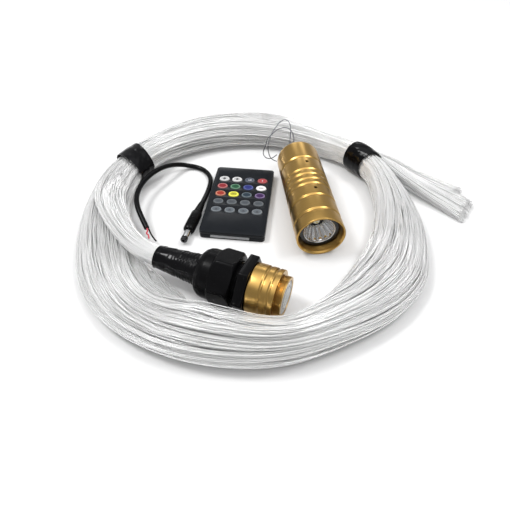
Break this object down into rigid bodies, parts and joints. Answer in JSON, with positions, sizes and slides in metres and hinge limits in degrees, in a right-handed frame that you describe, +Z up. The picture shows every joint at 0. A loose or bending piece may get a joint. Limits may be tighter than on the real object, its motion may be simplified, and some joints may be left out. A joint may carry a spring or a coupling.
{
  "type": "fibre optic star ceiling kit",
  "caption": "Coiled fibre optic harness with gland and ferrule head, tubular light engine, card remote with keys, and short power lead, laid out flat.",
  "frame": {"origin": "centre of the base of the box around the hard pieces (everything but the free strands, the tape bands on the coil, the power lead and the thin wires), on the surface that the kit lies on", "axes": "+Z up from the surface, +Y away from the viewer, along the light engine towards its tail cap, +X to the right, towards the side where the strands fan out"},
  "size_m": [0.3476, 0.279, 0.0395],
  "materials": {
    "fibre": "clear unjacketed strands, silvery white in bulk",
    "black_tape": "wrapped self-adhesive tape, glossy",
    "black_nylon": "moulded, matte",
    "black_rubber": "matte",
    "gold_anodised": "turned and anodised gold, satin",
    "resin": "polished",
    "steel": "bright",
    "black_plastic": "moulded, gloss",
    "circuit_board": "green solder mask",
    "bare_aluminium": "turned",
    "led_lens": "clear dome over a yellow die",
    "chromed_reflector": "mirror",
    "thin_wire": "thin sheathed wire, grey",
    "remote_case": "moulded, satin",
    "tray_plastic": "moulded, satin",
    "contact_brass": "bright",
    "black_pvc": "extruded, satin",
    "plug_chrome": "plated",
    "red_insulation": "extruded",
    "key_white": "silicone, satin",
    "key_slate": "silicone, satin",
    "key_red": "silicone, satin",
    "key_green": "silicone, satin",
    "key_blue": "silicone, satin",
    "key_orange": "silicone, satin",
    "key_yellow": "silicone, satin",
    "key_teal": "silicone, satin",
    "key_purple": "silicone, satin",
    "key_dark_grey": "silicone, satin",
    "key_mid_grey": "silicone, satin"
  },
  "bodies": {
    "harness": {"fibre_coil": "fibre", "fibre_lead_in": "fibre", "fibre_tail": "fibre", "coil_tape_left": "black_tape", "coil_tape_right": "black_tape", "head_tape_wrap": "black_tape", "fibre_core": "fibre", "gland_body": "black_nylon", "ferrule": "gold_anodised", "resin_plug": "resin"},
    "gland_clamp": {"gland_claw_ring": "black_nylon", "gland_seal": "black_rubber"},
    "dome_nut": {"gland_dome_nut": "black_nylon"},
    "engine": {"engine_housing": "gold_anodised", "set_screw_rear": "steel", "set_screw_front": "steel", "engine_tail_cap": "gold_anodised", "tail_grommet": "black_rubber", "dc_jack": "black_plastic", "driver_board": "circuit_board", "heat_sink": "bare_aluminium", "led_board": "circuit_board", "led_emitter": "led_lens", "reflector": "chromed_reflector", "bezel_ring": "black_plastic", "antenna_wire_long": "thin_wire", "antenna_wire_short": "thin_wire"},
    "power_lead": {"lead_cable": "black_pvc", "lead_plug_body": "black_pvc", "plug_barrel": "plug_chrome", "plug_tip": "black_plastic", "lead_wire_red": "red_insulation", "lead_wire_black": "black_pvc"},
    "remote": {"remote_case_bottom": "remote_case", "remote_case_top": "remote_case", "remote_board": "circuit_board", "battery_contact": "contact_brass"},
    "battery_drawer": {"remote_battery_tray": "tray_plastic", "coin_cell": "steel"},
    "key_r1c1": {"remote_key_r1c1": "key_white"},
    "key_r1c2": {"remote_key_r1c2": "key_white"},
    "key_r1c3": {"remote_key_r1c3": "key_slate"},
    "key_r1c4": {"remote_key_r1c4": "key_red"},
    "key_r2c1": {"remote_key_r2c1": "key_red"},
    "key_r2c2": {"remote_key_r2c2": "key_green"},
    "key_r2c3": {"remote_key_r2c3": "key_blue"},
    "key_r2c4": {"remote_key_r2c4": "key_white"},
    "key_r3c1": {"remote_key_r3c1": "key_orange"},
    "key_r3c2": {"remote_key_r3c2": "key_yellow"},
    "key_r3c3": {"remote_key_r3c3": "key_teal"},
    "key_r3c4": {"remote_key_r3c4": "key_purple"},
    "key_r4c1": {"remote_key_r4c1": "key_dark_grey"},
    "key_r4c2": {"remote_key_r4c2": "key_dark_grey"},
    "key_r4c3": {"remote_key_r4c3": "key_dark_grey"},
    "key_r4c4": {"remote_key_r4c4": "key_dark_grey"},
    "key_r5c1": {"remote_key_r5c1": "key_mid_grey"},
    "key_r5c2": {"remote_key_r5c2": "key_mid_grey"},
    "key_r5c3": {"remote_key_r5c3": "key_mid_grey"},
    "key_r5c4": {"remote_key_r5c4": "key_mid_grey"}
  },
  "joints": [
    {"name": "gland_clamp_slide", "type": "slide", "parent": "harness", "child": "gland_clamp", "axis": [-0.9317, 0.3633, 0], "range_m": [0, 0.003]},
    {"name": "dome_nut_turn", "type": "hinge", "parent": "gland_clamp", "child": "dome_nut", "pos_m": [-0.02156, -0.05643, 0.02], "axis": [-0.9317, 0.3633, 0], "range_deg": [0, 720.1]},
    {"name": "engine_lift", "type": "slide", "parent": "harness", "child": "engine", "axis": [0, 0, 1], "range_m": [0, 0.04]},
    {"name": "power_lead_lift", "type": "slide", "parent": "harness", "child": "power_lead", "axis": [0, 0, 1], "range_m": [0, 0.04]},
    {"name": "remote_lift", "type": "slide", "parent": "harness", "child": "remote", "axis": [0, 0, 1], "range_m": [0, 0.04]},
    {"name": "battery_drawer_slide", "type": "slide", "parent": "remote", "child": "battery_drawer", "axis": [-0.1011, -0.9949, 0], "range_m": [0, 0.026]},
    {"name": "key_r1c1_press", "type": "slide", "parent": "remote", "child": "key_r1c1", "axis": [0, 0, -1], "range_m": [0, 0.00035], "stiffness_N_per_m": 60, "springref_m": -0.002},
    {"name": "key_r1c2_press", "type": "slide", "parent": "remote", "child": "key_r1c2", "axis": [0, 0, -1], "range_m": [0, 0.00035], "stiffness_N_per_m": 60, "springref_m": -0.002},
    {"name": "key_r1c3_press", "type": "slide", "parent": "remote", "child": "key_r1c3", "axis": [0, 0, -1], "range_m": [0, 0.00035], "stiffness_N_per_m": 60, "springref_m": -0.002},
    {"name": "key_r1c4_press", "type": "slide", "parent": "remote", "child": "key_r1c4", "axis": [0, 0, -1], "range_m": [0, 0.00035], "stiffness_N_per_m": 60, "springref_m": -0.002},
    {"name": "key_r2c1_press", "type": "slide", "parent": "remote", "child": "key_r2c1", "axis": [0, 0, -1], "range_m": [0, 0.00035], "stiffness_N_per_m": 60, "springref_m": -0.002},
    {"name": "key_r2c2_press", "type": "slide", "parent": "remote", "child": "key_r2c2", "axis": [0, 0, -1], "range_m": [0, 0.00035], "stiffness_N_per_m": 60, "springref_m": -0.002},
    {"name": "key_r2c3_press", "type": "slide", "parent": "remote", "child": "key_r2c3", "axis": [0, 0, -1], "range_m": [0, 0.00035], "stiffness_N_per_m": 60, "springref_m": -0.002},
    {"name": "key_r2c4_press", "type": "slide", "parent": "remote", "child": "key_r2c4", "axis": [0, 0, -1], "range_m": [0, 0.00035], "stiffness_N_per_m": 60, "springref_m": -0.002},
    {"name": "key_r3c1_press", "type": "slide", "parent": "remote", "child": "key_r3c1", "axis": [0, 0, -1], "range_m": [0, 0.00035], "stiffness_N_per_m": 60, "springref_m": -0.002},
    {"name": "key_r3c2_press", "type": "slide", "parent": "remote", "child": "key_r3c2", "axis": [0, 0, -1], "range_m": [0, 0.00035], "stiffness_N_per_m": 60, "springref_m": -0.002},
    {"name": "key_r3c3_press", "type": "slide", "parent": "remote", "child": "key_r3c3", "axis": [0, 0, -1], "range_m": [0, 0.00035], "stiffness_N_per_m": 60, "springref_m": -0.002},
    {"name": "key_r3c4_press", "type": "slide", "parent": "remote", "child": "key_r3c4", "axis": [0, 0, -1], "range_m": [0, 0.00035], "stiffness_N_per_m": 60, "springref_m": -0.002},
    {"name": "key_r4c1_press", "type": "slide", "parent": "remote", "child": "key_r4c1", "axis": [0, 0, -1], "range_m": [0, 0.00035], "stiffness_N_per_m": 60, "springref_m": -0.002},
    {"name": "key_r4c2_press", "type": "slide", "parent": "remote", "child": "key_r4c2", "axis": [0, 0, -1], "range_m": [0, 0.00035], "stiffness_N_per_m": 60, "springref_m": -0.002},
    {"name": "key_r4c3_press", "type": "slide", "parent": "remote", "child": "key_r4c3", "axis": [0, 0, -1], "range_m": [0, 0.00035], "stiffness_N_per_m": 60, "springref_m": -0.002},
    {"name": "key_r4c4_press", "type": "slide", "parent": "remote", "child": "key_r4c4", "axis": [0, 0, -1], "range_m": [0, 0.00035], "stiffness_N_per_m": 60, "springref_m": -0.002},
    {"name": "key_r5c1_press", "type": "slide", "parent": "remote", "child": "key_r5c1", "axis": [0, 0, -1], "range_m": [0, 0.00035], "stiffness_N_per_m": 60, "springref_m": -0.002},
    {"name": "key_r5c2_press", "type": "slide", "parent": "remote", "child": "key_r5c2", "axis": [0, 0, -1], "range_m": [0, 0.00035], "stiffness_N_per_m": 60, "springref_m": -0.002},
    {"name": "key_r5c3_press", "type": "slide", "parent": "remote", "child": "key_r5c3", "axis": [0, 0, -1], "range_m": [0, 0.00035], "stiffness_N_per_m": 60, "springref_m": -0.002},
    {"name": "key_r5c4_press", "type": "slide", "parent": "remote", "child": "key_r5c4", "axis": [0, 0, -1], "range_m": [0, 0.00035], "stiffness_N_per_m": 60, "springref_m": -0.002}
  ],
  "couplings": [
    {"joint": "dome_nut_turn", "follows": "gland_clamp_slide", "rad_per_m": 4188.8}
  ]
}
